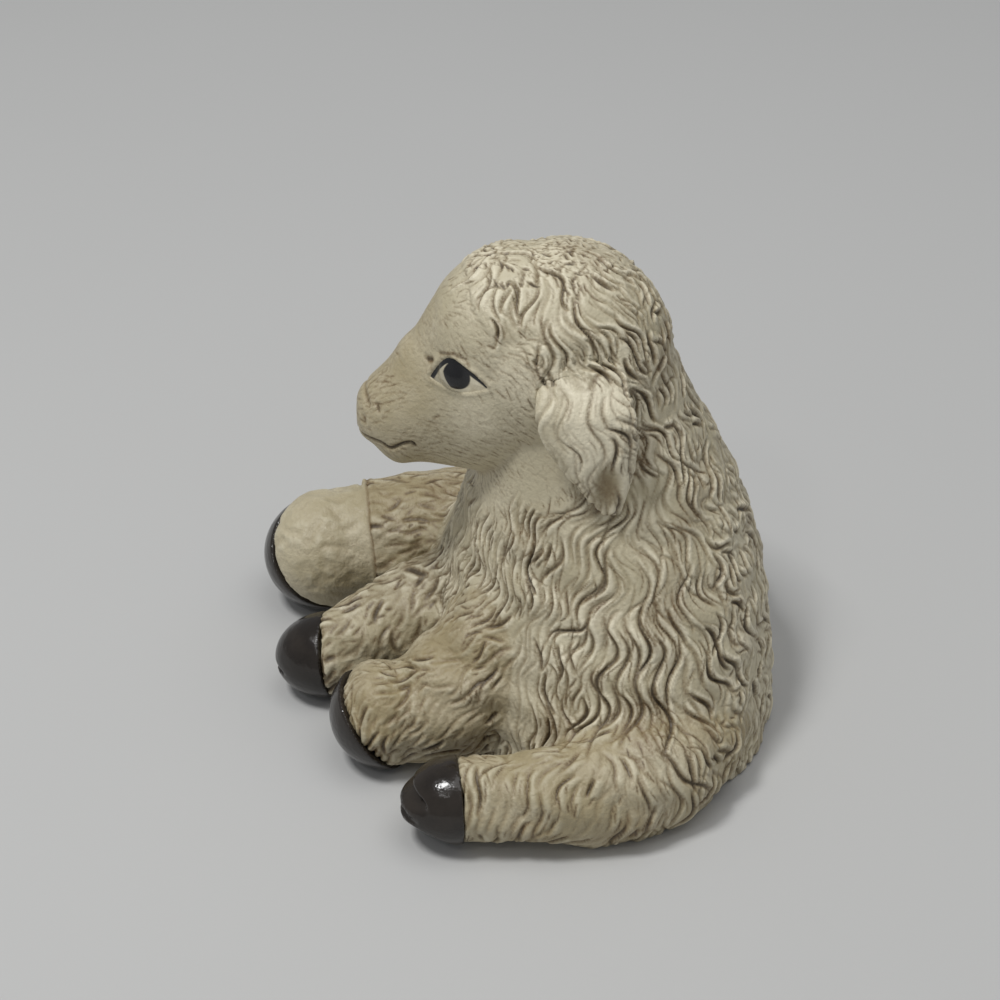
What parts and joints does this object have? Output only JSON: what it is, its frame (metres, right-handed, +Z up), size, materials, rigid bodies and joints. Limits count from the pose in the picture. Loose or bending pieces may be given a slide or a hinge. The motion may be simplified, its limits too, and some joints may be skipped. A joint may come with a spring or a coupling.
{
  "type": "seated lamb figurine",
  "caption": "Seated lamb ornament in painted cast resin, with carved wavy wool, hanging ears, glossy dark hooves and its head turned in profile.",
  "frame": {"origin": "middle of the outline on the ground", "axes": "+Z up, the lamb's legs point to -Y, its left side is +X"},
  "size_m": [0.0586, 0.0558, 0.0527],
  "materials": {
    "wool": "matte cream paint over cast resin, brown wash in the carved wool",
    "ear": "pale matte cream paint, brown wash at the tip",
    "hoof": "gloss dark brown paint",
    "eye": "gloss black paint with a cream rim"
  },
  "bodies": {
    "root": {"torso": "wool", "head": "wool", "tail": "wool", "ear_left": "ear", "ear_right": "ear", "eye_left": "eye", "eye_right": "eye", "front_leg_left": "wool", "front_hoof_left": "hoof", "front_leg_right": "wool", "front_hoof_right": "hoof", "hind_leg_left": "wool", "hind_hoof_left": "hoof", "hind_leg_right": "wool", "hind_hoof_right": "hoof"}
  },
  "joints": []
}
